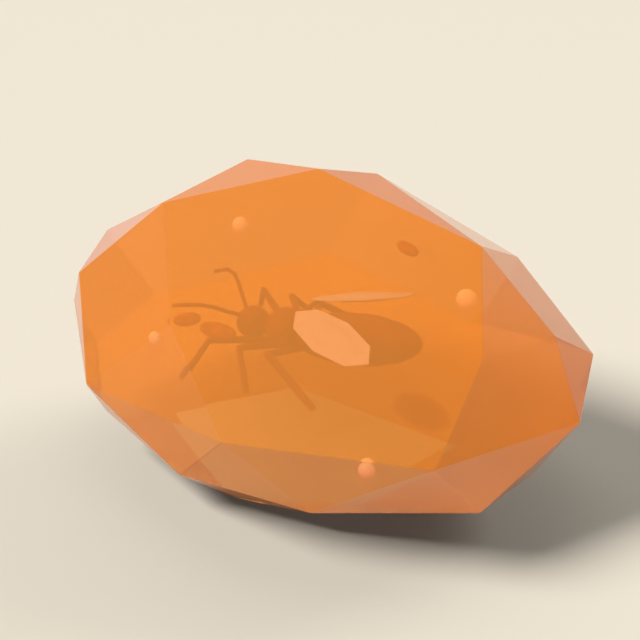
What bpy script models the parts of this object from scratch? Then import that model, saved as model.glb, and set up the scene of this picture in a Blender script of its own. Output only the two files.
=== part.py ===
"""Insect in amber: a faceted nugget of clear amber with a winged insect and three bark flecks in it.

Metres, +Z up. X runs along the nugget, -Y is its front, where the big polished face slopes down.
The origin is on the resting surface, under the middle of the nugget's box.

The amber is one piece in nature. Here it is parted in two halves, on a plane that runs parallel
to the polished face, so that each thing sealed in it can lie in a pocket of its own shape.
"""
import math

import bmesh
import bpy
from mathutils import Matrix, Vector

MM = 0.001

# ---- The nugget, in millimetres ----
# The polished face is a plane. Its normal leans toward the front and a little to the left.
FACE_AZIMUTH = -100.0
FACE_ELEVATION = 61.0
FACE_HEIGHT = 15.4          # height of the plane over the origin

# Corners of the polished face (x, y), clockwise seen from above.
FACE_CORNERS = {
    "back_left": (-13.2, 6.7),
    "back": (-0.4, 8.5),
    "back_right": (12.3, 0.7),
    "right": (11.7, -8.0),
    "front_right": (7.8, -15.4),
    "front_left": (-7.4, -12.4),
    "left": (-11.8, -3.5),
}

# Corners of the rough facets round it (x, y, z).
SIDE_CORNERS = {
    "front_right_toe": (11.4, -14.6, 3.1),
    "front_toe": (-0.9, -13.0, 1.7),
    "front_left_toe": (-11.1, -9.5, 2.5),
    "left_shoulder": (-19.1, -2.5, 6.1),
    "left_toe": (-17.7, -2.5, 3.4),
    "left_end": (-21.4, 6.4, 8.6),
    "left_back": (-18.7, 10.3, 13.4),
    "crest_left": (-6.5, 13.1, 18.8),
    "crest_right": (4.6, 11.0, 18.4),
    "right_shoulder": (19.2, -9.4, 7.4),
    "right_end": (21.4, -2.5, 9.0),
    "right_toe": (16.1, -9.5, 2.6),
    "back_foot": (0.5, 15.4, 7.4),
    "back_left_foot": (-14.2, 12.2, 5.2),
    "back_right_foot": (13.0, 7.8, 4.7),
    "left_back_foot": (-19.2, 6.3, 4.1),
}

# Corners (x, y) whose heights are set by the flat facet that they close, with that facet's others.
RIGHT_FACET = ((17.6, -4.7), ("right", "front_right", "right_shoulder"))
RIGHT_STRIP = ((15.9, 4.3), ("back_right", "right_facet", "right_end"))
LEFT_FACET = ((-20.9, 7.3), ("back_left", "left", "left_shoulder"))

# Corners of the flat base (x, y), at height 0.
BASE_CORNERS = [(-6.9, -9.2), (-11.9, 1.6), (-2.2, 4.6), (10.5, -3.2), (3.0, -9.3)]

# ---- Parting and pockets, in millimetres ----
CLEARANCE = 0.3             # gap between the halves, and round everything sealed in the amber

# ---- The insect, in millimetres, in its own frame ----
# +X runs to the tail, +Y to the side away from the front, +Z up through its back.
INSECT_PLACE = (-2.8, 2.35, 8.0)    # middle of the thorax; the parting plane goes through it
INSECT_YAW = -22.5                  # the tail is turned this far toward the front
INSECT_ROLL = 7.5                   # and the front side is lifted this far

THORAX = ((-0.15, 0.0, -0.1), 1.85)
HEAD = ((-3.2, 0.0, -0.2), 1.42)
ABDOMEN_MIDDLE = (5.9, 0.0, 0.38)
ABDOMEN_LENGTH = 11.3
ABDOMEN_WIDTH = 4.4
ABDOMEN_LIFT = 8.5                  # the tail end is raised this far

# Each leg runs from the thorax to a knee, then down to a foot. Feet are level and in line.
LEG_ROOTS = [-0.5, 1.0, 2.3]        # x in the thorax: front, middle and hind leg
LEG_ROOT_SIDE = 1.2
LEG_ROOT_DROP = 0.6
KNEES = [-4.7, -2.0, 0.45]
KNEE_SIDE = 5.3
KNEE_RISE = 0.2
FEET = [-5.8, -0.3, 5.4]
FOOT_SIDE = 7.4
FOOT_DROP = 2.45
THIGH_RADIUS = 0.30
SHIN_RADII = [0.27, 0.27, 0.32]

# An antenna rises from the head, bends outward and droops at its end.
ANTENNA = [(-4.1, 0.6, 0.5), (-5.1, 1.7, 1.2), (-5.8, 2.5, 1.75), (-6.65, 3.4, 2.15),
           (-7.65, 3.95, 2.15), (-8.8, 3.75, 1.75)]
ANTENNA_RADIUS = 0.20

# A wing is a thin eight-sided leaf, swept out from the thorax, with its outer edge lower.
WING_MIDDLE = (5.1, 3.75, 2.15)
WING_LENGTH = 10.1
WING_WIDTH = 3.7
WING_THICKNESS = 0.6
WING_SWEEP = 34.0
WING_SLOPE = -26.0
FAR_WING_RISE = 0.3                 # the far wing is carried higher and flatter than the near one
FAR_WING_SLOPE = -18.0
FAR_WING_LENGTH = 9.0
WING_STALK = [(0.4, 0.5, 0.9), (2.0, 1.65, 2.1)]
WING_STALK_RADIUS = 0.3

# ---- Bark flecks, in millimetres, in the parting plane ----
# Place (x, y) measured from the insect along and up the parting plane; length, width,
# thickness; turn in the plane, in degrees.
FLECKS = [
    ((-8.5, 1.6), (2.4, 1.4, 1.1), 0.0),
    ((-5.9, 0.25), (3.3, 1.6, 1.1), -22.0),
    ((10.4, 6.75), (2.2, 1.2, 0.9), -41.0),
]


def clear_scene():
    """Remove every object that the new file starts with."""
    for thing in list(bpy.data.objects):
        bpy.data.objects.remove(thing, do_unlink=True)


def collection(name):
    """A new collection in the scene."""
    group = bpy.data.collections.new(name)
    bpy.context.scene.collection.children.link(group)
    return group


def material(name, colour, roughness, transmission=0.0, ior=1.45):
    """A plain Principled material."""
    made = bpy.data.materials.new(name)
    made.use_nodes = True
    made.diffuse_color = (*colour, 1.0)
    shader = made.node_tree.nodes["Principled BSDF"]
    shader.inputs["Base Color"].default_value = (*colour, 1.0)
    shader.inputs["Roughness"].default_value = roughness
    shader.inputs["Metallic"].default_value = 0.0
    shader.inputs["Transmission Weight"].default_value = transmission
    shader.inputs["IOR"].default_value = ior
    return made


def direction(azimuth, elevation):
    """Unit vector at an azimuth and an elevation in degrees."""
    turn = math.radians(azimuth)
    rise = math.radians(elevation)
    return Vector((math.cos(rise) * math.cos(turn), math.cos(rise) * math.sin(turn), math.sin(rise)))


def plane_height(point, normal, x, y):
    """Height at (x, y) of the plane through a point with this normal."""
    return point.z - (normal.x * (x - point.x) + normal.y * (y - point.y)) / normal.z


def closing_corner(corners, facet):
    """The corner that closes a flat facet, at the height of the plane through its other three."""
    (x, y), names = facet
    first, second, third = (corners[name] for name in names)
    normal = (second - first).cross(third - first)
    return Vector((x, y, plane_height(first, normal, x, y)))


def nugget_corners():
    """Every corner of the nugget, in millimetres."""
    normal = direction(FACE_AZIMUTH, FACE_ELEVATION)
    over_origin = Vector((0.0, 0.0, FACE_HEIGHT))
    corners = {name: Vector((x, y, plane_height(over_origin, normal, x, y)))
               for name, (x, y) in FACE_CORNERS.items()}
    corners.update({name: Vector(place) for name, place in SIDE_CORNERS.items()})
    corners["right_facet"] = closing_corner(corners, RIGHT_FACET)
    corners["right_strip"] = closing_corner(corners, RIGHT_STRIP)
    corners["left_facet"] = closing_corner(corners, LEFT_FACET)
    return list(corners.values()) + [Vector((x, y, 0.0)) for x, y in BASE_CORNERS]


def object_from(shape, name, group, frame=Matrix()):
    """An object holding a bmesh shape, placed by its frame."""
    bmesh.ops.recalc_face_normals(shape, faces=shape.faces)
    if shape.calc_volume(signed=True) < 0.0:
        bmesh.ops.reverse_faces(shape, faces=shape.faces)
    mesh = bpy.data.meshes.new(name)
    shape.to_mesh(mesh)
    shape.free()
    thing = bpy.data.objects.new(name, mesh)
    thing.matrix_world = frame
    group.objects.link(thing)
    return thing


def amber_half(name, group, side):
    """The nugget on one side of the parting plane: side is 1 for above and -1 for below."""
    shape = bmesh.new()
    for corner in nugget_corners():
        shape.verts.new(corner * MM)
    hull = bmesh.ops.convex_hull(shape, input=shape.verts)
    bmesh.ops.delete(shape, geom=hull["geom_interior"], context="VERTS")
    bmesh.ops.dissolve_limit(shape, angle_limit=math.radians(0.3),
                             verts=shape.verts, edges=shape.edges)
    outward = direction(FACE_AZIMUTH, FACE_ELEVATION) * side
    start = Vector(INSECT_PLACE) * MM + outward * CLEARANCE * MM / 2
    cut = bmesh.ops.bisect_plane(shape, geom=shape.verts[:] + shape.edges[:] + shape.faces[:],
                                 plane_co=start, plane_no=outward, clear_inner=True)
    rim = [edge for edge in cut["geom_cut"] if isinstance(edge, bmesh.types.BMEdge)]
    bmesh.ops.contextual_create(shape, geom=rim)
    return object_from(shape, name, group)


def ellipsoid(name, group, frame, place, sizes, segments, rings, grow):
    """An ellipsoid of full sizes (x, y, z) in millimetres, its surface moved out by grow."""
    halves = Vector(sizes) / 2 + Vector((grow, grow, grow))
    shape = bmesh.new()
    bmesh.ops.create_uvsphere(shape, u_segments=segments, v_segments=rings, radius=1.0)
    shape.transform(place @ Matrix.Diagonal((*halves, 1.0)))
    shape.transform(Matrix.Scale(MM, 4))
    return object_from(shape, name, group, frame)


def tube(name, group, frame, points, radii, grow):
    """A round tube through points in millimetres, its surface and its far end moved out by grow."""
    route = [Vector(point) for point in points]
    route[-1] += (route[-1] - route[-2]).normalized() * grow
    curve = bpy.data.curves.new(name, "CURVE")
    curve.dimensions = "3D"
    curve.bevel_depth = MM
    curve.bevel_resolution = 1
    curve.use_fill_caps = True
    spline = curve.splines.new("POLY")
    spline.points.add(len(route) - 1)
    for spot, point, radius in zip(spline.points, route, radii):
        spot.co = (*(point * MM), 1.0)
        spot.radius = radius + grow
    guide = bpy.data.objects.new(name, curve)
    bpy.context.scene.collection.objects.link(guide)
    bpy.context.view_layer.update()
    evaluated = guide.evaluated_get(bpy.context.evaluated_depsgraph_get())
    shape = bmesh.new()
    shape.from_mesh(bpy.data.meshes.new_from_object(evaluated))
    bmesh.ops.remove_doubles(shape, verts=shape.verts, dist=0.000001)
    bpy.data.objects.remove(guide, do_unlink=True)
    return object_from(shape, name, group, frame)


def leg(group, frame, number, side, grow):
    """One leg: a thigh out to the knee and a shin down to the foot."""
    root = (LEG_ROOTS[number], side * LEG_ROOT_SIDE, -LEG_ROOT_DROP)
    knee = (KNEES[number], side * KNEE_SIDE, KNEE_RISE)
    foot = (FEET[number], side * FOOT_SIDE, -FOOT_DROP)
    radii = (THIGH_RADIUS, THIGH_RADIUS, SHIN_RADII[number])
    return tube("leg", group, frame, [root, knee, foot], radii, grow)


def antenna(group, frame, side, grow):
    """One antenna."""
    route = [(x, side * y, z) for x, y, z in ANTENNA]
    return tube("antenna", group, frame, route, [ANTENNA_RADIUS] * len(route), grow)


def wing(group, frame, side, grow):
    """One wing, and the stalk that joins it to the thorax."""
    x, y, z = WING_MIDDLE
    rise, slope, length = ((FAR_WING_RISE, FAR_WING_SLOPE, FAR_WING_LENGTH) if side > 0
                           else (0.0, WING_SLOPE, WING_LENGTH))
    place = (Matrix.Translation((x, side * y, z + rise))
             @ Matrix.Rotation(math.radians(side * WING_SWEEP), 4, "Z")
             @ Matrix.Rotation(math.radians(side * slope), 4, "X"))
    sizes = (length, WING_WIDTH, WING_THICKNESS)
    leaf = ellipsoid("wing", group, frame, place, sizes, 8, 4, grow)
    route = [Vector((x, side * y, z)) for x, y, z in WING_STALK]
    route[-1].z += rise
    stalk = tube("stalk", group, frame, route, [WING_STALK_RADIUS] * 2, grow)
    return [leaf, stalk]


def insect_pieces(group, frame, segments, grow):
    """Every part of the insect, with its surface moved out by grow millimetres."""
    rings = segments * 3 // 4
    lengthways = Matrix.Rotation(math.radians(90.0), 4, "Y")
    pieces = []
    for name, (middle, radius) in (("thorax", THORAX), ("head", HEAD)):
        place = Matrix.Translation(middle) @ lengthways
        pieces.append(ellipsoid(name, group, frame, place, [2 * radius] * 3, segments, rings, grow))
    lift = Matrix.Rotation(math.radians(-ABDOMEN_LIFT), 4, "Y")
    place = Matrix.Translation(ABDOMEN_MIDDLE) @ lift @ lengthways
    sizes = (ABDOMEN_WIDTH, ABDOMEN_WIDTH, ABDOMEN_LENGTH)
    pieces.append(ellipsoid("abdomen", group, frame, place, sizes, segments, rings, grow))
    for side in (1, -1):
        pieces += [leg(group, frame, number, side, grow) for number in range(len(KNEES))]
        pieces.append(antenna(group, frame, side, grow))
        pieces += wing(group, frame, side, grow)
    return pieces


def fuse(name, pieces):
    """Join overlapping pieces in one solid, in the object of the first of them."""
    body, *others = pieces
    for other in others:
        union = body.modifiers.new("Union", "BOOLEAN")
        union.operation = "UNION"
        union.object = other
        bpy.context.view_layer.update()
        evaluated = body.evaluated_get(bpy.context.evaluated_depsgraph_get())
        joined = bpy.data.meshes.new_from_object(evaluated)
        body.modifiers.remove(union)
        body.data = joined
        bpy.data.objects.remove(other, do_unlink=True)
    body.name = name
    return body


def make_cutter(thing):
    """Show a cutter as wire and leave it out of renders."""
    thing.hide_render = True
    thing.display_type = "WIRE"
    return thing


def insect_frame():
    """The insect's own frame: metres, with its thorax at the origin."""
    return (Matrix.Translation(Vector(INSECT_PLACE) * MM)
            @ Matrix.Rotation(math.radians(INSECT_YAW), 4, "Z")
            @ Matrix.Rotation(math.radians(-INSECT_ROLL), 4, "X"))


def parting_frame():
    """Frame of the parting plane: X along the nugget, Y up the slope, Z out of the face."""
    out = direction(FACE_AZIMUTH, FACE_ELEVATION)
    along = Vector((0.0, 1.0, 0.0)).cross(out).normalized()
    up = out.cross(along)
    turn = Matrix((along, up, out)).transposed().to_4x4()
    return Matrix.Translation(Vector(INSECT_PLACE) * MM) @ turn


def fleck(name, group, spec, grow):
    """A bark fleck lying in the parting plane."""
    (x, y), sizes, turn = spec
    place = Matrix.Translation((x, y, 0.0)) @ Matrix.Rotation(math.radians(turn), 4, "Z")
    lengthways = Matrix.Rotation(math.radians(90.0), 4, "Y")
    length, width, thickness = sizes
    return ellipsoid(name, group, parting_frame(), place @ lengthways,
                     (thickness, width, length), 8, 6, grow)


def main():
    """Build every piece."""
    clear_scene()
    parts = collection("Insect in amber")
    cutters = collection("Cutters")
    amber = material("Amber", (0.86, 0.28, 0.05), 0.08, transmission=0.9, ior=1.54)
    chitin = material("Insect", (0.42, 0.13, 0.03), 0.5)
    bark = material("Bark", (0.50, 0.17, 0.03), 0.7)

    insect = fuse("insect", insect_pieces(parts, insect_frame(), 16, 0.0))
    insect.data.shade_smooth()
    insect.data.set_sharp_from_angle(angle=math.radians(40.0))
    insect.data.materials.append(chitin)
    pockets = [fuse("insect_pocket", insect_pieces(cutters, insect_frame(), 12, CLEARANCE))]
    for number, spec in enumerate(FLECKS, start=1):
        grain = fleck(f"bark_fleck_{number}", parts, spec, 0.0)
        grain.data.materials.append(bark)
        pockets.append(fleck(f"fleck_pocket_{number}", cutters, spec, CLEARANCE))
    for pocket in pockets:
        make_cutter(pocket)

    for name, side in (("amber_upper", 1), ("amber_lower", -1)):
        half = amber_half(name, parts, side)
        half.data.materials.append(amber)
        for pocket in pockets:
            cut = half.modifiers.new(pocket.name, "BOOLEAN")
            cut.operation = "DIFFERENCE"
            cut.object = pocket


if __name__ == "__main__":
    main()
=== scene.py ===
"""Insect in amber: the looks of a faceted amber nugget with a winged insect sealed in it.

The nugget, the insect, its wings, the air bubbles and the resin stain are modelled here round the
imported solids. The bark flecks keep their solids and get a bark finish. Everything is in metres,
in the frame of the solids.
"""

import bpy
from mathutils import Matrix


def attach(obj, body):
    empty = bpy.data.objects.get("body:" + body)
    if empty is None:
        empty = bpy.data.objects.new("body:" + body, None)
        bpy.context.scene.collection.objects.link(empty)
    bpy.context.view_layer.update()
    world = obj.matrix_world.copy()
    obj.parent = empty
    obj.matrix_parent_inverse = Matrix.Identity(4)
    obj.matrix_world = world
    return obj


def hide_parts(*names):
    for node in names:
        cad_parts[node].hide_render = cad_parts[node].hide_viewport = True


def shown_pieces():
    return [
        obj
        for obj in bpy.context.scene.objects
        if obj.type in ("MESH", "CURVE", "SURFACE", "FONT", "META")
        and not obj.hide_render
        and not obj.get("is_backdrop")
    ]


bl_info = {
    "name": "Insect in Amber",
    "version": (1, 0, 0),
    "blender": (4, 5, 0),
    "location": "3D View > Sidebar > Amber",
    "description": "Builds an amber nugget with a winged insect, bark flecks and bubbles in it",
    "category": "Object",
}

import math

import bmesh
import bpy
from bpy.props import FloatProperty, FloatVectorProperty, IntProperty, PointerProperty
from bpy.types import Operator, Panel, PropertyGroup
from mathutils import Matrix, Vector

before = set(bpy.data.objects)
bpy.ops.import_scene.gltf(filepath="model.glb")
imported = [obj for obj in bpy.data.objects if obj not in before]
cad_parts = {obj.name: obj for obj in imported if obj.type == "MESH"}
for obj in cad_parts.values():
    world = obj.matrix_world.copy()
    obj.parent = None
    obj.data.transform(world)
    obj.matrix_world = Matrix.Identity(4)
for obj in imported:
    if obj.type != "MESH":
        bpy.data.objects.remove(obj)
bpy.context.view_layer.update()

MM = 0.001
HALVES = ("amber_upper", "amber_lower")
FLECKS = ("bark_fleck_1", "bark_fleck_2", "bark_fleck_3")

# ---- The insect, in millimetres, in its own frame: +X to the tail, +Z up through its back ----
INSECT_PLACE = (-2.8, 2.35, 8.0)
INSECT_YAW = -22.5
INSECT_ROLL = 7.5
THORAX = ((-0.15, 0.0, -0.1), 1.85)
HEAD = ((-3.2, 0.0, -0.2), 1.42)
ABDOMEN_MIDDLE = (5.9, 0.0, 0.38)
ABDOMEN_LENGTH = 11.3
ABDOMEN_WIDTH = 4.4
ABDOMEN_LIFT = 8.5
LEG_ROOTS = (-0.5, 1.0, 2.3)
LEG_ROOT_SIDE = 1.2
LEG_ROOT_DROP = 0.6
KNEES = (-4.7, -2.0, 0.45)
KNEE_SIDE = 5.3
KNEE_RISE = 0.2
FEET = (-5.8, -0.3, 5.4)
FOOT_SIDE = 7.4
FOOT_DROP = 2.45
THIGH_RADIUS = 0.30
SHIN_RADII = (0.27, 0.27, 0.32)
ANTENNA = ((-4.1, 0.6, 0.5), (-5.1, 1.7, 1.2), (-5.8, 2.5, 1.75), (-6.65, 3.4, 2.15),
           (-7.65, 3.95, 2.15), (-8.8, 3.75, 1.75))
ANTENNA_RADIUS = 0.20
WING_MIDDLE = (5.1, 3.75, 2.15)
WING_SWEEP = 34.0
WING_SLOPE = -26.0
FAR_WING_RISE = 0.3
FAR_WING_SLOPE = -18.0
FAR_WING_SHARE = 0.9
WING_STALK = ((0.4, 0.5, 0.9), (2.0, 1.65, 2.1))
WING_STALK_RADII = (0.3, 0.2)
WING_RIM_SHARE = 0.25               # of the wing's thickness
WING_EDGE_SHARE = 0.08
WING_STEPS = (0.80, 0.62)           # each layer of a wing, as a share of the one before
EYE_PLACE = (-0.55, 0.95, 0.35)     # from the middle of the head
EYE_SIZES = (0.95, 0.75, 0.9)
RING_STEPS = 5                      # faces from one groove of the abdomen to the next
RING_GROOVE = 0.965
BODY_GRAIN = 0.08                   # size of the grains in which the body grows together

# ---- Painted light on the facets, from 0 to 1, by where they face ----
# The paleness stands in for the reflection on grazing facets and for light seen through the stone.
BASE_PALE = 1.0
UNDERCUT_PALE = 0.05
FRONT_UNDERCUT_PALE = 0.25
LEFT_END_PALE = 0.75
CREST_PALE = 0.14
BACK_PALE = 0.42
RIGHT_PALE = 0.02
RIGHT_END_PALE = 0.12
LEFT_FRONT_PALE = 0.04
PALER_PER_MM = 0.02

# Facets centred beyond these x, in millimetres, are the thin left end and the front end. The
# two right facets grow paler with painted light behind RIGHT_FROM_Y and short of RIGHT_END_X.
LEFT_END = -17.0
FRONT_END = 2.0
RIGHT_FROM_Y = -10.0
RIGHT_END_X = 15.0

# ---- The amber's colour deepens along a leaning line: start and length in millimetres ----
DEEPENS_FROM = (-15.0, 2.0, 8.0)
DEEPENS_OVER = 30.0
DEEPENS_LEAN_X = 58.0
DEEPENS_LEAN_Z = -12.2
DEEPENS_BETWEEN = (0.4, 1.1)        # shares of that length
AMBER_TINT = (1.0, 0.80, 0.50)      # colour that thick amber lets through

# ---- Air bubbles, in millimetres: middle and radius ----
BUBBLES = (
    ((-6.9, 7.4, 15.2), 0.70),
    ((11.3, -0.5, 12.7), 0.88),
    ((-13.3, -1.0, 9.5), 0.52),
    ((3.2, -12.3, 5.5), 0.68),
)
BUBBLE_UNDERSIDE = 0.94             # the lower half is a little flatter

# ---- Resin stain, in millimetres: middle, full sizes and turn about Z ----
STAIN_MIDDLE = (7.5, -7.4, 6.8)
STAIN_SIZES = (5.4, 3.4, 1.6)
STAIN_TURN = -50.0

# ---- The stage, in metres and degrees ----
FLOOR_SIZE = 4.0
FLOOR_GAP = 0.00002                 # under the base
CAMERA_AIM = (-0.00027, 0.00022, 0.0105)
CAMERA_NEAR = 0.001
BACKDROP_COLOUR = (0.88, 0.80, 0.66)
BACK_WALL_BETWEEN = (0.25, 0.80)    # how far back a mirrored ray points
NEAR_LIGHT_REACH = 0.30
NEAR_LIGHT_SIZE = 0.25
NEAR_LIGHT_AIM = (0.0, 0.0, 0.009)
FAR_LIGHT_PLACE = (0.0, 0.0, 0.5)

# Name, azimuth and elevation of each light, and the spread in radians of those on the floor.
FLOOR_LIGHTS = (
    ("key_floor", 166.0, 40.0, 0.42),
    ("fill_floor", 41.0, 18.0, 0.45),
    ("back_floor", 90.0, 30.0, 1.1),
)
STONE_LIGHTS = (
    ("key_stone", 166.0, 40.0),
    ("left_stone", 225.0, 35.0),
    ("right_stone", 315.0, 35.0),
    ("back_stone", 95.0, 45.0),
    ("top_stone", 270.0, 75.0),
)


class NuggetSettings(PropertyGroup):
    """Edges and finish of the clear amber, with the colours of its painted light and painted shade.
    """

    edge: FloatProperty(
        name="Edge", description="Width of the worn edge between two facets",
        default=0.00006, min=0.0, unit="LENGTH", precision=5)
    honey: FloatVectorProperty(
        name="Honey", description="Body colour where the amber is lightest",
        default=(0.93, 0.315, 0.038), size=3, subtype="COLOR", min=0.0, max=1.0)
    cognac: FloatVectorProperty(
        name="Cognac", description="Body colour of the deeper side",
        default=(0.92, 0.290, 0.024), size=3, subtype="COLOR", min=0.0, max=1.0)
    # Painted light: a fully pale facet stands in for reflection on grazing facets and light seen
    # through the base.
    painted_light: FloatVectorProperty(
        name="Frost", description="Colour of a fully pale facet, such as the ground base",
        default=(0.90, 0.62, 0.50), size=3, subtype="COLOR", min=0.0, max=1.0)
    # Painted shade: the darker colour stands in for shade on the undercut facets.
    painted_shade: FloatVectorProperty(
        name="Crust", description="Colour of the undercut facets round the base",
        default=(0.78, 0.24, 0.028), size=3, subtype="COLOR", min=0.0, max=1.0)
    clearness: FloatProperty(
        name="Clearness", description="Share of the light that passes through the amber",
        default=0.46, min=0.0, max=1.0, subtype="FACTOR")
    refraction: FloatProperty(
        name="Refraction", description="Index of refraction of the clear amber",
        default=1.08, min=1.0, max=2.0)
    absorption: FloatProperty(
        name="Absorption", description="Absorption density of the amber, per metre",
        default=1.5, min=0.0)


class InsectSettings(PropertyGroup):
    """Wings, rings and finish of the insect."""

    chitin: FloatVectorProperty(
        name="Chitin", description="Colour of the body",
        default=(0.26, 0.035, 0.004), size=3, subtype="COLOR", min=0.0, max=1.0)
    membrane: FloatVectorProperty(
        name="Membrane", description="Colour of the wings",
        default=(0.77, 0.62, 1.00), size=3, subtype="COLOR", min=0.0, max=1.0)
    rings: IntProperty(
        name="Rings", description="Number of segments of the abdomen",
        default=6, min=2, max=12)
    wing_length: FloatProperty(
        name="Wing length", description="Length of a wing from its root to its tip",
        default=0.0101, min=0.001, unit="LENGTH", precision=5)
    wing_width: FloatProperty(
        name="Wing width", description="Greatest width of a wing",
        default=0.0037, min=0.0005, unit="LENGTH", precision=5)
    wing_thickness: FloatProperty(
        name="Wing thickness", description="Thickness in the middle of a wing",
        default=0.0006, min=0.00001, unit="LENGTH", precision=5)


class InclusionSettings(PropertyGroup):
    """Finish of the bark, the bubbles and the stain."""

    bark: FloatVectorProperty(
        name="Bark", description="Colour of the bark flecks",
        default=(0.54, 0.09, 0.004), size=3, subtype="COLOR", min=0.0, max=1.0)
    bubble: FloatVectorProperty(
        name="Bubble", description="Colour of the light caught by an air bubble",
        default=(1.0, 0.72, 0.80), size=3, subtype="COLOR", min=0.0, max=1.0)
    # Painted light: an emission that stands in for the light a bubble reflects.
    bubble_glow: FloatProperty(
        name="Bubble glow", description="Strength of the light caught by an air bubble",
        default=0.22, min=0.0)
    stain: FloatVectorProperty(
        name="Stain", description="Colour that the stain lets through",
        default=(0.75, 0.25, 0.05), size=3, subtype="COLOR", min=0.0, max=1.0)
    stain_density: FloatProperty(
        name="Stain density", description="Absorption density of the stain, per metre",
        default=1100.0, min=0.0)


class StageSettings(PropertyGroup):
    """The floor, the camera and the lights."""

    floor: FloatVectorProperty(
        name="Floor", description="Colour of the floor",
        default=(0.845, 0.765, 0.635), size=3, subtype="COLOR", min=0.0, max=1.0)
    camera_height: FloatProperty(
        name="Camera elevation", description="Angle of the camera above the horizon",
        default=math.radians(32.0), subtype="ANGLE")
    camera_distance: FloatProperty(
        name="Camera distance", description="Distance from the camera to its aim",
        default=0.093, min=0.01, unit="LENGTH")
    lens: FloatProperty(
        name="Lens", description="Focal length of the camera", default=65.0, min=10.0)
    key_floor: FloatProperty(
        name="Key on the floor", description="Strength of the key light on the floor",
        default=3.46, min=0.0)
    fill_floor: FloatProperty(
        name="Fill on the floor", description="Strength of the soft light on the floor",
        default=1.35, min=0.0)
    back_floor: FloatProperty(
        name="Back light on the floor",
        description="Strength of the broad light from behind on the floor",
        default=1.00, min=0.0)
    key_stone: FloatProperty(
        name="Key on the stone", description="Strength of the key light on the stone",
        default=1.55, min=0.0)
    left_stone: FloatProperty(
        name="Left fill on the stone", description="Strength of the soft light from the left",
        default=1.30, min=0.0)
    right_stone: FloatProperty(
        name="Right fill on the stone", description="Strength of the soft light from the right",
        default=0.53, min=0.0)
    back_stone: FloatProperty(
        name="Back light on the stone", description="Strength of the soft light from behind",
        default=1.00, min=0.0)
    top_stone: FloatProperty(
        name="Top light on the stone", description="Strength of the soft light from above",
        default=1.34, min=0.0)
    sky: FloatProperty(
        name="Sky", description="Strength of the even light from all round",
        default=0.065, min=0.0)
    backdrop: FloatProperty(
        name="Backdrop", description="Brightness of the studio mirrored in glossy surfaces",
        default=0.33, min=0.0)
    back_wall: FloatProperty(
        name="Back wall", description="Brightness of the mirrored wall behind the nugget",
        default=0.65, min=0.0)


# ---------------------------------------------------------------- modelling helpers

def deselect():
    """Deselect every object."""
    bpy.ops.object.select_all(action="DESELECT")


def select(*things):
    """Select only these objects, the first of them active."""
    deselect()
    for thing in things:
        thing.select_set(True)
    bpy.context.view_layer.objects.active = things[0]


def settle(thing, place=Matrix()):
    """Set an object's place, then move that place into its mesh."""
    thing.matrix_world = place @ thing.matrix_world
    select(thing)
    bpy.ops.object.transform_apply(location=True, rotation=True, scale=True)
    return thing


def join(name, things):
    """Join objects in one, named."""
    select(*things)
    bpy.ops.object.join()
    thing = bpy.context.view_layer.objects.active
    thing.name = name
    thing.data.name = name
    return thing


def apply_modifier(thing, modifier):
    """Apply one modifier."""
    select(thing)
    bpy.ops.object.modifier_apply(modifier=modifier.name)


def edit(thing, mode="VERT"):
    """Open an object in edit mode with nothing selected."""
    select(thing)
    bpy.ops.object.mode_set(mode="EDIT")
    bpy.ops.mesh.select_mode(type=mode)
    bpy.ops.mesh.select_all(action="DESELECT")
    return bmesh.from_edit_mesh(thing.data)


def leave_edit():
    """Go back to object mode."""
    bpy.ops.object.mode_set(mode="OBJECT")


def pick(shape, parts, wanted):
    """In edit mode, select the parts of the shape for which wanted(part) holds."""
    for part in parts:
        part.select_set(wanted(part))
    shape.select_flush(True)


def copy_of(thing):
    """A free copy of an object, with its own mesh, in the scene."""
    made = bpy.data.objects.new(thing.name + "_copy", thing.data.copy())
    made.matrix_world = thing.matrix_world.copy()
    bpy.context.scene.collection.objects.link(made)
    return made


def toward(azimuth, elevation):
    """A direction given by its azimuth and elevation in degrees."""
    turn, rise = math.radians(azimuth), math.radians(elevation)
    return Vector((math.cos(turn) * math.cos(rise), math.sin(turn) * math.cos(rise),
                   math.sin(rise)))


def insect_frame():
    """The insect's own frame: metres, with its thorax at the origin."""
    return (Matrix.Translation(Vector(INSECT_PLACE) * MM)
            @ Matrix.Rotation(math.radians(INSECT_YAW), 4, "Z")
            @ Matrix.Rotation(math.radians(-INSECT_ROLL), 4, "X"))


def finish_piece(thing, slot, *nodes):
    """Ride a piece on the root body, with the solids that it replaces."""
    if nodes:
        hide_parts(*nodes)
    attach(thing, "root")


# ---------------------------------------------------------------- material helpers

def new_material(name, colour):
    """A material with a Principled shader, and its node tree and shader."""
    made = bpy.data.materials.new(name)
    made.use_nodes = True
    made.diffuse_color = (*colour, 1.0)
    shader = made.node_tree.nodes["Principled BSDF"]
    shader.inputs["Base Color"].default_value = (*colour, 1.0)
    return made, made.node_tree, shader


def node(tree, kind, x, y, **values):
    """Add a node at a place in the editor, with its properties set."""
    made = tree.nodes.new(kind)
    made.location = (x, y)
    for name, value in values.items():
        setattr(made, name, value)
    return made


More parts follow.
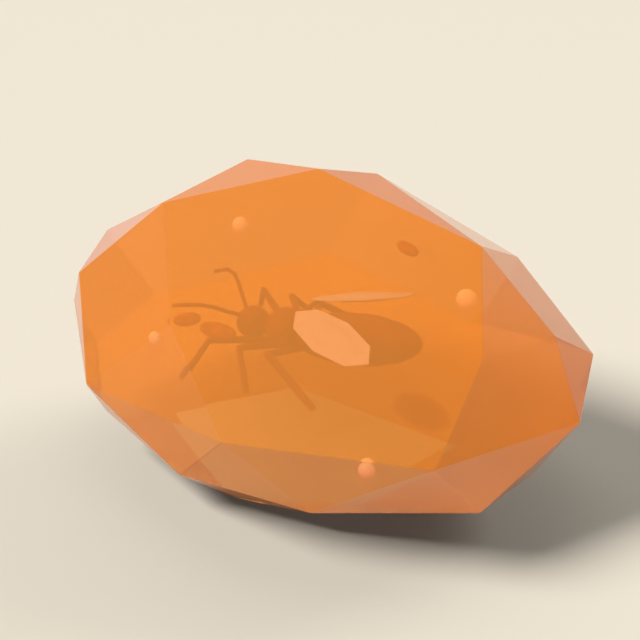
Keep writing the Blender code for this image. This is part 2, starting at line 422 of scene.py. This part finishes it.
def veil_group():
    """Shared effect: a soft noise mask in the object's own space."""
    known = bpy.data.node_groups.get("Soft veil")
    if known:
        return known
    group = bpy.data.node_groups.new("Soft veil", "ShaderNodeTree")
    for name, value in (("Scale", 100.0), ("Detail", 3.0), ("Low", 0.35), ("High", 0.65)):
        socket = group.interface.new_socket(name, in_out="INPUT", socket_type="NodeSocketFloat")
        socket.default_value = value
    group.interface.new_socket("Mask", in_out="OUTPUT", socket_type="NodeSocketFloat")
    entry = node(group, "NodeGroupInput", -600, 0)
    place = node(group, "ShaderNodeTexCoord", -600, 200)
    noise = node(group, "ShaderNodeTexNoise", -400, 100)
    ramp = node(group, "ShaderNodeMapRange", -200, 100, interpolation_type="SMOOTHSTEP")
    leave = node(group, "NodeGroupOutput", 0, 0)
    group.links.new(place.outputs["Object"], noise.inputs["Vector"])
    group.links.new(entry.outputs["Scale"], noise.inputs["Scale"])
    group.links.new(entry.outputs["Detail"], noise.inputs["Detail"])
    group.links.new(noise.outputs["Fac"], ramp.inputs["Value"])
    group.links.new(entry.outputs["Low"], ramp.inputs["From Min"])
    group.links.new(entry.outputs["High"], ramp.inputs["From Max"])
    group.links.new(ramp.outputs["Result"], leave.inputs["Mask"])
    return group


def veil(tree, x, y, **values):
    """Place the shared veil in a material."""
    made = node(tree, "ShaderNodeGroup", x, y, node_tree=veil_group())
    for name, value in values.items():
        made.inputs[name].default_value = value
    return made.outputs["Mask"]


def two_tone(tree, mask, light, dark, x, y):
    """Mix two colours by a mask."""
    mix = node(tree, "ShaderNodeMix", x, y, data_type="RGBA")
    mix.inputs["A"].default_value = (*light, 1.0)
    mix.inputs["B"].default_value = (*dark, 1.0)
    tree.links.new(mask, mix.inputs["Factor"])
    return mix.outputs["Result"]


def roughen(tree, shader, height, strength, distance, x, y):
    """Feed a height through a Bump node to the shader's normal."""
    bump = node(tree, "ShaderNodeBump", x, y)
    bump.inputs["Strength"].default_value = strength
    bump.inputs["Distance"].default_value = distance
    tree.links.new(height, bump.inputs["Height"])
    tree.links.new(bump.outputs["Normal"], shader.inputs["Normal"])


def shade(colour, factor):
    """A colour made darker or lighter by a factor."""
    return tuple(min(1.0, channel * factor) for channel in colour)


# ---------------------------------------------------------------- the nugget

def grow(tree, value, start, end, x, y):
    """A mask that goes softly from 0 to 1 as a value goes from start to end."""
    ramp = node(tree, "ShaderNodeMapRange", x, y, interpolation_type="SMOOTHSTEP")
    ramp.inputs["From Min"].default_value = start
    ramp.inputs["From Max"].default_value = end
    tree.links.new(value, ramp.inputs["Value"])
    return ramp.outputs["Result"]


def distance_along(tree, start, turn, length, x, y):
    """Distance from a start along a turned X, as a share of a length."""
    place = node(tree, "ShaderNodeTexCoord", x - 800, y)
    space = node(tree, "ShaderNodeMapping", x - 600, y, vector_type="TEXTURE")
    space.inputs["Location"].default_value = Vector(start) * MM
    space.inputs["Rotation"].default_value = turn.to_euler()
    space.inputs["Scale"].default_value = Vector((length, length, length)) * MM
    kept = node(tree, "ShaderNodeVectorMath", x - 400, y, operation="MULTIPLY")
    kept.inputs[1].default_value = (1.0, 0.0, 0.0)
    distance = node(tree, "ShaderNodeVectorMath", x - 200, y, operation="LENGTH")
    tree.links.new(place.outputs["Object"], space.inputs["Vector"])
    tree.links.new(space.outputs["Vector"], kept.inputs[0])
    tree.links.new(kept.outputs["Vector"], distance.inputs[0])
    return distance.outputs["Value"]


def painted_light_of(facet, place):
    """How much painted light a facet carries at one of its corners, as paleness: the base most,
    then the ends and the back rim.
    """
    x, y, z = facet.normal
    across, along = place.x / MM, place.y / MM
    if z < -0.99:
        return BASE_PALE
    if z < 0.0:
        in_front = y < -0.9 and facet.center.x > FRONT_END * MM
        return FRONT_UNDERCUT_PALE if in_front else UNDERCUT_PALE
    if facet.center.x < LEFT_END * MM:
        return LEFT_END_PALE
    if z > 0.9:
        return CREST_PALE if y > -0.2 else 0.0
    backward = y + 0.3 * x + 0.35
    if backward > 0.0:
        return BACK_PALE * min(1.0, backward / 0.3)
    if x > 0.2 and z > 0.6:
        return RIGHT_PALE + PALER_PER_MM * max(0.0, along - RIGHT_FROM_Y)
    if x > 0.2:
        return RIGHT_END_PALE + PALER_PER_MM * max(0.0, RIGHT_END_X - across)
    return LEFT_FRONT_PALE if x < -0.4 and y < -0.5 else 0.0


def painted_shade_of(facet, place):
    """How much painted shade a facet carries, the same at each corner: the undercut ones, but not
    in front.
    """
    x, y, z = facet.normal
    return 1.0 if -0.99 < z < 0.0 and y > -0.9 else 0.0


def mark(mesh, name, value_at):
    """Give a mesh a named value at each corner of each facet."""
    marks = mesh.attributes.new(name, "FLOAT", "CORNER")
    for facet in mesh.polygons:
        for loop in facet.loop_indices:
            place = mesh.vertices[mesh.loops[loop].vertex_index].co
            marks.data[loop].value = value_at(facet, place)


def marked(tree, colour, name, other, x, y):
    """Mix a colour with another one by a value that the mesh carries."""
    value = node(tree, "ShaderNodeAttribute", x - 200, y - 150, attribute_name=name)
    mix = node(tree, "ShaderNodeMix", x, y, data_type="RGBA")
    mix.inputs["B"].default_value = (*other, 1.0)
    tree.links.new(value.outputs["Fac"], mix.inputs["Factor"])
    tree.links.new(colour, mix.inputs["A"])
    return mix.outputs["Result"]


def amber_material(settings):
    """Clear honey amber, deeper on one side, with painted shade on its undercut facets and painted
    light on its pale facets.
    """
    made, tree, shader = new_material("Amber", settings.honey)
    lean = (Matrix.Rotation(math.radians(DEEPENS_LEAN_X), 3, "X")
            @ Matrix.Rotation(math.radians(DEEPENS_LEAN_Z), 3, "Z"))
    along = distance_along(tree, DEEPENS_FROM, lean, DEEPENS_OVER, -500, 700)
    deep = grow(tree, along, *DEEPENS_BETWEEN, -500, 700)
    colour = two_tone(tree, deep, settings.honey, settings.cognac, -250, 600)
    # Painted shade: undercut facets made darker, as if in shade.
    colour = marked(tree, colour, "Crust", settings.painted_shade, -50, 500)
    # Painted light: pale facets stand in for reflection and for light seen through the stone.
    colour = marked(tree, colour, "Frost", settings.painted_light, 150, 400)
    tree.links.new(colour, shader.inputs["Base Color"])
    shader.inputs["Roughness"].default_value = 0.0
    shader.inputs["IOR"].default_value = settings.refraction
    shader.inputs["Transmission Weight"].default_value = settings.clearness
    shader.inputs["Coat Weight"].default_value = 1.0
    shader.inputs["Coat Roughness"].default_value = 0.05
    depth = node(tree, "ShaderNodeVolumeAbsorption", 0, -300)
    depth.inputs["Color"].default_value = (*AMBER_TINT, 1.0)
    depth.inputs["Density"].default_value = settings.absorption
    tree.links.new(depth.outputs["Volume"], tree.nodes["Material Output"].inputs["Volume"])
    return made


class AMBER_OT_nugget(Operator):
    """Model the nugget as one clear stone round everything sealed in it"""

    bl_idname = "amber.nugget"
    bl_label = "Amber nugget"

    def execute(self, context):
        settings = context.scene.amber_nugget
        stone = join("amber_nugget", [copy_of(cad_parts[name]) for name in HALVES])
        edit(stone)
        bpy.ops.mesh.select_all(action="SELECT")
        bpy.ops.mesh.convex_hull(join_triangles=False)
        bpy.ops.mesh.select_all(action="SELECT")
        bpy.ops.mesh.dissolve_limited(angle_limit=math.radians(0.5))
        bpy.ops.mesh.select_all(action="SELECT")
        bpy.ops.mesh.normals_make_consistent(inside=False)
        leave_edit()
        bevel = stone.modifiers.new("Worn edges", "BEVEL")
        bevel.width = settings.edge
        bevel.segments = 2
        bevel.limit_method = "NONE"
        apply_modifier(stone, bevel)
        settle(stone)
        # Painted light on the pale facets, by where they face.
        mark(stone.data, "Frost", painted_light_of)
        # Painted shade on the undercut facets.
        mark(stone.data, "Crust", painted_shade_of)
        stone.data.materials.clear()
        stone.data.materials.append(amber_material(settings))
        bpy.ops.object.shade_flat()
        # The stone tints no light on its way to the floor, so its shadow there stays grey.
        stone.visible_diffuse = False
        finish_piece(stone, "amber", *HALVES)
        return {"FINISHED"}


# ---------------------------------------------------------------- the insect

def ball(middle, sizes, turn=Matrix(), segments=32, rings=24):
    """A ball of full sizes in millimetres in the insect's frame, its poles along its own X."""
    bpy.ops.mesh.primitive_uv_sphere_add(segments=segments, ring_count=rings, radius=0.5)
    thing = bpy.context.object
    place = (Matrix.Translation(Vector(middle) * MM) @ turn
             @ Matrix.Diagonal((*(Vector(sizes) * MM), 1.0))
             @ Matrix.Rotation(math.radians(90.0), 4, "Y"))
    return settle(thing, insect_frame() @ place)


def limb(route, radii):
    """A round limb through points in millimetres in the insect's frame."""
    bpy.ops.curve.primitive_bezier_curve_add()
    thing = bpy.context.object
    curve = thing.data
    curve.splines.clear()
    curve.dimensions = "3D"
    curve.bevel_depth = MM
    curve.bevel_resolution = 4
    curve.use_fill_caps = True
    spline = curve.splines.new("POLY")
    spline.points.add(len(route) - 1)
    for spot, point, radius in zip(spline.points, route, radii):
        spot.co = (*(Vector(point) * MM), 1.0)
        spot.radius = radius
    select(thing)
    bpy.ops.object.convert(target="MESH")
    thing = bpy.context.object
    edit(thing)
    bpy.ops.mesh.select_all(action="SELECT")
    bpy.ops.mesh.remove_doubles(threshold=0.000001)
    bpy.ops.mesh.normals_make_consistent(inside=False)
    leave_edit()
    return settle(thing, insect_frame())


def abdomen_piece(rings):
    """The abdomen: an egg with a shallow groove between its segments."""
    lift = Matrix.Rotation(math.radians(-ABDOMEN_LIFT), 4, "Y")
    steps = rings * RING_STEPS
    thing = ball((0.0, 0.0, 0.0), (1.0, 1.0, 1.0), segments=40, rings=steps)
    thing.data.transform(insect_frame().inverted())
    shape = edit(thing)
    for number in range(1, rings):
        along = -0.5 * math.cos(math.pi * (number * RING_STEPS) / steps) * MM
        pick(shape, shape.verts, lambda vert: abs(vert.co.x - along) < 0.00001)
        bpy.ops.transform.resize(value=(1.0, RING_GROOVE, RING_GROOVE))
    leave_edit()
    place = (Matrix.Translation(Vector(ABDOMEN_MIDDLE) * MM) @ lift
             @ Matrix.Diagonal((ABDOMEN_LENGTH, ABDOMEN_WIDTH, ABDOMEN_WIDTH, 1.0)))
    return settle(thing, insect_frame() @ place)


def leg_piece(number, side):
    """One leg: thigh, knee, shin and a blunt foot."""
    root = Vector((LEG_ROOTS[number], side * LEG_ROOT_SIDE, -LEG_ROOT_DROP))
    knee = Vector((KNEES[number], side * KNEE_SIDE, KNEE_RISE))
    foot = Vector((FEET[number], side * FOOT_SIDE, -FOOT_DROP))
    shin = SHIN_RADII[number]
    route = [root, root.lerp(knee, 0.5), root.lerp(knee, 0.92), knee, knee.lerp(foot, 0.12),
             knee.lerp(foot, 0.6), foot]
    radii = [THIGH_RADIUS, THIGH_RADIUS * 1.08, THIGH_RADIUS * 0.95, shin * 1.1, shin * 0.95,
             shin, shin * 0.95]
    return limb(route, radii)


def antenna_piece(side):
    """One antenna, a little thinner between its joints."""
    route = [Vector((x, side * y, z)) for x, y, z in ANTENNA]
    smooth = []
    for start, end in zip(route, route[1:]):
        smooth += [start, start.lerp(end, 0.5)]
    smooth.append(route[-1])
    radii = [ANTENNA_RADIUS * (1.0 if number % 2 == 0 else 0.9) for number in range(len(smooth))]
    return limb(smooth, radii)


def stalk_piece(side):
    """The stalk that carries one wing, from the thorax into the wing's root."""
    rise = FAR_WING_RISE if side > 0 else 0.0
    route = [Vector((x, side * y, z)) for x, y, z in WING_STALK]
    route[-1].z += rise
    return limb(route, WING_STALK_RADII)


def chitin_material(settings):
    """Brown chitin, mottled, with a dull shine."""
    made, tree, shader = new_material("Chitin", settings.chitin)
    mask = veil(tree, -500, 200, Scale=900.0, Detail=4.0, Low=0.35, High=0.70)
    colour = two_tone(tree, mask, settings.chitin, shade(settings.chitin, 0.7), -250, 200)
    tree.links.new(colour, shader.inputs["Base Color"])
    shader.inputs["Roughness"].default_value = 0.5
    roughen(tree, shader, mask, 0.3, 0.00003, -250, -100)
    return made


class AMBER_OT_insect_body(Operator):
    """Model the insect's body with its legs, antennae and wing stalks as one piece"""

    bl_idname = "amber.insect_body"
    bl_label = "Insect body"

    def execute(self, context):
        settings = context.scene.amber_insect
        pieces = [ball(middle, [2 * radius] * 3) for middle, radius in (THORAX, HEAD)]
        pieces.append(abdomen_piece(settings.rings))
        x, y, z = EYE_PLACE
        for side in (1, -1):
            eye = (HEAD[0][0] + x, side * y, HEAD[0][2] + z)
            pieces.append(ball(eye, EYE_SIZES, segments=20, rings=14))
            pieces += [leg_piece(number, side) for number in range(len(KNEES))]
            pieces.append(antenna_piece(side))
            pieces.append(stalk_piece(side))
        body = join("insect_body", pieces)
        remesh = body.modifiers.new("Grow together", "REMESH")
        remesh.mode = "VOXEL"
        remesh.voxel_size = BODY_GRAIN * MM
        apply_modifier(body, remesh)
        smooth = body.modifiers.new("Soften", "SMOOTH")
        smooth.factor = 0.5
        smooth.iterations = 4
        apply_modifier(body, smooth)
        bpy.ops.object.shade_smooth()
        body.data.materials.clear()
        body.data.materials.append(chitin_material(settings))
        finish_piece(body, "insect", "insect")
        return {"FINISHED"}


def wing_material(settings):
    """Pale membrane with faint darker veins."""
    made, tree, shader = new_material("Wing membrane", settings.membrane)
    place = node(tree, "ShaderNodeTexCoord", -900, 200)
    veins = node(tree, "ShaderNodeTexVoronoi", -700, 200, feature="DISTANCE_TO_EDGE")
    veins.inputs["Scale"].default_value = 700.0
    lines = node(tree, "ShaderNodeMapRange", -480, 200, interpolation_type="SMOOTHSTEP")
    lines.inputs["From Max"].default_value = 0.06
    colour = two_tone(tree, lines.outputs["Result"], shade(settings.membrane, 0.93),
                      settings.membrane, -250, 200)
    tree.links.new(place.outputs["Object"], veins.inputs["Vector"])
    tree.links.new(veins.outputs["Distance"], lines.inputs["Value"])
    tree.links.new(colour, shader.inputs["Base Color"])
    shader.inputs["Roughness"].default_value = 0.35
    return made


def wing_piece(name, side, settings):
    """One wing: an eight-sided leaf, thickest in the middle, swept out, its outer edge lower."""
    rim = settings.wing_thickness * WING_RIM_SHARE
    rise = (settings.wing_thickness - rim) / 2
    bpy.ops.mesh.primitive_cylinder_add(vertices=8, radius=0.5, depth=rim)
    wing = bpy.context.object
    wing.name = name
    for way in (1, -1):
        for narrow in WING_STEPS:
            shape = edit(wing, "FACE")
            pick(shape, shape.faces, lambda face: face.normal.z * way > 0.9)
            bpy.ops.mesh.extrude_region_move(
                TRANSFORM_OT_translate={"value": (0.0, 0.0, way * rise / 2)})
            bpy.ops.transform.resize(value=(narrow, narrow, 1.0))
            leave_edit()
    x, y, z = WING_MIDDLE
    rise, slope, share = ((FAR_WING_RISE, FAR_WING_SLOPE, FAR_WING_SHARE) if side > 0
                          else (0.0, WING_SLOPE, 1.0))
    place = (Matrix.Translation(Vector((x, side * y, z + rise)) * MM)
             @ Matrix.Rotation(math.radians(side * WING_SWEEP), 4, "Z")
             @ Matrix.Rotation(math.radians(side * slope), 4, "X")
             @ Matrix.Diagonal((settings.wing_length * share, settings.wing_width, 1.0, 1.0)))
    settle(wing, insect_frame() @ place)
    bevel = wing.modifiers.new("Soft edge", "BEVEL")
    bevel.width = settings.wing_thickness * WING_EDGE_SHARE
    bevel.segments = 2
    apply_modifier(wing, bevel)
    return wing


class AMBER_OT_wings(Operator):
    """Model the two wings"""

    bl_idname = "amber.wings"
    bl_label = "Wings"

    def execute(self, context):
        settings = context.scene.amber_insect
        finish = wing_material(settings)
        for name, side in (("wing_front", -1), ("wing_back", 1)):
            wing = wing_piece(name, side, settings)
            wing.data.materials.clear()
            wing.data.materials.append(finish)
            finish_piece(wing, "insect")
        return {"FINISHED"}


# ---------------------------------------------------------------- other inclusions

def bark_material(settings):
    """Dark bark with a rough grain."""
    made, tree, shader = new_material("Bark", settings.bark)
    mask = veil(tree, -500, 200, Scale=1500.0, Detail=6.0, Low=0.35, High=0.65)
    colour = two_tone(tree, mask, settings.bark, shade(settings.bark, 0.65), -250, 200)
    tree.links.new(colour, shader.inputs["Base Color"])
    shader.inputs["Roughness"].default_value = 0.8
    roughen(tree, shader, mask, 0.6, 0.00005, -250, -100)
    return made


class AMBER_OT_bark(Operator):
    """Give the bark flecks their bark"""

    bl_idname = "amber.bark"
    bl_label = "Bark flecks"

    def execute(self, context):
        finish = bark_material(context.scene.amber_inclusions)
        for name in FLECKS:
            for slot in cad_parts[name].material_slots:
                slot.material = finish
        return {"FINISHED"}


def bubble_material(settings):
    """Pale skin of an air bubble, a little uneven, with a painted glow that stands in for the light
    it reflects.
    """
    made, tree, shader = new_material("Air bubble", settings.bubble)
    mask = veil(tree, -500, 200, Scale=500.0, Detail=1.0, Low=0.35, High=0.65)
    colour = two_tone(tree, mask, settings.bubble, shade(settings.bubble, 0.94), -250, 200)
    tree.links.new(colour, shader.inputs["Base Color"])
    shader.inputs["Roughness"].default_value = 0.25
    # Painted light: the bubble glows by emission, standing in for the light it reflects.
    tree.links.new(colour, shader.inputs["Emission Color"])
    shader.inputs["Emission Strength"].default_value = settings.bubble_glow
    return made


class AMBER_OT_bubbles(Operator):
    """Model the air bubbles"""

    bl_idname = "amber.bubbles"
    bl_label = "Air bubbles"

    def execute(self, context):
        finish = bubble_material(context.scene.amber_inclusions)
        for number, (middle, radius) in enumerate(BUBBLES, start=1):
            bpy.ops.mesh.primitive_ico_sphere_add(subdivisions=2, radius=radius * MM)
            bubble = bpy.context.object
            bubble.name = f"bubble_{number}"
            shape = edit(bubble)
            pick(shape, shape.verts, lambda vert: vert.co.z < 0.0)
            bpy.ops.transform.resize(value=(1.0, 1.0, BUBBLE_UNDERSIDE))
            leave_edit()
            settle(bubble, Matrix.Translation(Vector(middle) * MM))
            bubble.data.materials.append(finish)
            finish_piece(bubble, "amber")
        return {"FINISHED"}


def stain_material(settings):
    """Clear resin that only absorbs: a stain with soft edges."""
    made, tree, shader = new_material("Resin stain", (1.0, 1.0, 1.0))
    shader.inputs["Roughness"].default_value = 0.0
    shader.inputs["IOR"].default_value = 1.0
    shader.inputs["Transmission Weight"].default_value = 1.0
    mask = veil(tree, -500, 200, Scale=300.0, Detail=2.0, Low=0.35, High=0.65)
    colour = two_tone(tree, mask, (1.0, 1.0, 1.0), (1.0, 0.97, 0.94), -250, 200)
    tree.links.new(colour, shader.inputs["Base Color"])
    depth = node(tree, "ShaderNodeVolumeAbsorption", 0, -300)
    depth.inputs["Color"].default_value = (*settings.stain, 1.0)
    depth.inputs["Density"].default_value = settings.stain_density
    tree.links.new(depth.outputs["Volume"], tree.nodes["Material Output"].inputs["Volume"])
    return made


class AMBER_OT_stain(Operator):
    """Model the darker stain deep in the amber"""

    bl_idname = "amber.stain"
    bl_label = "Resin stain"

    def execute(self, context):
        bpy.ops.mesh.primitive_uv_sphere_add(segments=24, ring_count=16, radius=0.5 * MM)
        stain = bpy.context.object
        stain.name = "resin_stain"
        place = (Matrix.Translation(Vector(STAIN_MIDDLE) * MM)
                 @ Matrix.Rotation(math.radians(STAIN_TURN), 4, "Z")
                 @ Matrix.Diagonal((*STAIN_SIZES, 1.0)))
        settle(stain, place)
        bpy.ops.object.shade_smooth()
        stain.data.materials.append(stain_material(context.scene.amber_inclusions))
        finish_piece(stain, "amber")
        return {"FINISHED"}


# ---------------------------------------------------------------- the stage

def place_light(name, data, place, way):
    """Put a light in the scene, facing against a direction and kept out of reflections."""
    data.cycles.use_multiple_importance_sampling = False
    light = bpy.data.objects.new(name, data)
    light.location = place
    light.rotation_euler = (-way).to_track_quat("-Z", "Y").to_euler()
    light.visible_glossy = False
    light.visible_transmission = False
    bpy.context.scene.collection.objects.link(light)
    return light


def far_light(name, azimuth, elevation, spread, strength):
    """A broad light far away: strength in watts per square metre, spread in radians."""
    data = bpy.data.lights.new(name, "SUN")
    data.energy = strength
    data.angle = spread
    return place_light(name, data, FAR_LIGHT_PLACE, toward(azimuth, elevation))


def near_light(name, azimuth, elevation, strength):
    """A square soft light that gives the stone the same strength from near by."""
    data = bpy.data.lights.new(name, "AREA")
    data.size = NEAR_LIGHT_SIZE
    data.energy = strength * math.pi * NEAR_LIGHT_REACH ** 2
    way = toward(azimuth, elevation)
    return place_light(name, data, Vector(NEAR_LIGHT_AIM) + way * NEAR_LIGHT_REACH, way)


def studio_world(settings):
    """Dim even light on matt surfaces, a plain studio in reflections and a pale backdrop."""
    world = bpy.data.worlds.new("Studio")
    world.use_nodes = True
    world.cycles.sampling_method = "NONE"
    tree = world.node_tree
    sky = tree.nodes["Background"]
    rays = node(tree, "ShaderNodeLightPath", -700, 200)
    way = node(tree, "ShaderNodeTexCoord", -1150, -100)
    split = node(tree, "ShaderNodeSeparateXYZ", -950, -100)
    wall = node(tree, "ShaderNodeMapRange", -750, -100, interpolation_type="SMOOTHSTEP")
    wall.inputs["From Min"].default_value, wall.inputs["From Max"].default_value = BACK_WALL_BETWEEN
    wall.inputs["To Min"].default_value = settings.backdrop
    wall.inputs["To Max"].default_value = settings.back_wall
    tree.links.new(way.outputs["Generated"], split.inputs["Vector"])
    tree.links.new(split.outputs["Y"], wall.inputs["Value"])
    lit = node(tree, "ShaderNodeMix", -450, 0, data_type="RGBA")
    tree.links.new(wall.outputs["Result"], lit.inputs["A"])
    lit.inputs["B"].default_value = (settings.sky, settings.sky, settings.sky, 1.0)
    colour = node(tree, "ShaderNodeMix", -250, 200, data_type="RGBA")
    colour.inputs["B"].default_value = (*BACKDROP_COLOUR, 1.0)
    tree.links.new(rays.outputs["Is Diffuse Ray"], lit.inputs["Factor"])
    tree.links.new(rays.outputs["Is Camera Ray"], colour.inputs["Factor"])
    tree.links.new(lit.outputs["Result"], colour.inputs["A"])
    tree.links.new(colour.outputs["Result"], sky.inputs["Color"])
    sky.inputs["Strength"].default_value = 1.0
    return world


def light_group(name, things):
    """A collection that tells a light what it lights or what shades it."""
    group = bpy.data.collections.new(name)
    for thing in things:
        group.objects.link(thing)
    return group


class AMBER_OT_stage(Operator):
    """Add the floor, the camera and the lights"""

    bl_idname = "amber.stage"
    bl_label = "Stage"

    def execute(self, context):
        scene = context.scene
        settings = scene.amber_stage
        bpy.ops.mesh.primitive_plane_add(size=FLOOR_SIZE, location=(0.0, 0.0, -FLOOR_GAP))
        floor = bpy.context.object
        floor.name = "floor"
        finish, tree, shader = new_material("Floor", settings.floor)
        shader.inputs["Roughness"].default_value = 0.9
        floor.data.materials.append(finish)
        floor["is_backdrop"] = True

        height = settings.camera_height
        aim = Vector(CAMERA_AIM)
        back = Vector((0.0, -math.cos(height), math.sin(height)))
        data = bpy.data.cameras.new("camera")
        data.lens = settings.lens
        data.clip_start = CAMERA_NEAR
        camera = bpy.data.objects.new("camera", data)
        camera.location = aim + back * settings.camera_distance
        camera.rotation_euler = (math.pi / 2 - height, 0.0, 0.0)
        scene.collection.objects.link(camera)
        scene.camera = camera

        scene.world = studio_world(settings)
        stone = bpy.data.objects["amber_nugget"]
        inner = [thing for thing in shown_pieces() if thing.type == "MESH" and thing is not stone]
        ground = light_group("Lit by the floor lights", [floor])
        lit = light_group("Lit by the stone lights", inner + [stone])
        shading = light_group("Shading the stone lights", inner + [floor])
        for name, azimuth, elevation, spread in FLOOR_LIGHTS:
            light = far_light(name, azimuth, elevation, spread, getattr(settings, name))
            light.light_linking.receiver_collection = ground
        for name, azimuth, elevation in STONE_LIGHTS:
            light = near_light(name, azimuth, elevation, getattr(settings, name))
            light.light_linking.receiver_collection = lit
            light.light_linking.blocker_collection = shading
        scene.view_settings.view_transform = "Standard"
        return {"FINISHED"}


class AMBER_PT_panel(Panel):
    """Lists the pieces of the insect in amber and their settings."""

    bl_idname = "AMBER_PT_panel"
    bl_label = "Insect in Amber"
    bl_space_type = "VIEW_3D"
    bl_region_type = "UI"
    bl_category = "Amber"

    def draw(self, context):
        scene = context.scene
        groups = (
            (scene.amber_nugget, ("amber.nugget",)),
            (scene.amber_insect, ("amber.insect_body", "amber.wings")),
            (scene.amber_inclusions, ("amber.bark", "amber.bubbles", "amber.stain")),
            (scene.amber_stage, ("amber.stage",)),
        )
        for settings, operators in groups:
            box = self.layout.box()
            for name in settings.bl_rna.properties.keys():
                if name not in {"rna_type", "name"}:
                    box.prop(settings, name)
            for operator in operators:
                box.operator(operator)


SETTINGS = {
    "amber_nugget": NuggetSettings,
    "amber_insect": InsectSettings,
    "amber_inclusions": InclusionSettings,
    "amber_stage": StageSettings,
}
OPERATORS = (
    AMBER_OT_nugget,
    AMBER_OT_insect_body,
    AMBER_OT_wings,
    AMBER_OT_bark,
    AMBER_OT_bubbles,
    AMBER_OT_stain,
    AMBER_OT_stage,
)


def register():
    """Register the settings, the operators and the panel."""
    for name, kind in SETTINGS.items():
        bpy.utils.register_class(kind)
        setattr(bpy.types.Scene, name, PointerProperty(type=kind))
    for kind in (*OPERATORS, AMBER_PT_panel):
        bpy.utils.register_class(kind)


def unregister():
    """Undo register."""
    for kind in reversed((*OPERATORS, AMBER_PT_panel)):
        bpy.utils.unregister_class(kind)
    for name, kind in reversed(SETTINGS.items()):
        delattr(bpy.types.Scene, name)
        bpy.utils.unregister_class(kind)


def main():
    """Build every piece, then the stage."""
    register()
    bpy.ops.amber.nugget()
    bpy.ops.amber.insect_body()
    bpy.ops.amber.wings()
    bpy.ops.amber.bark()
    bpy.ops.amber.bubbles()
    bpy.ops.amber.stain()
    bpy.ops.amber.stage()


if __name__ == "__main__":
    main()
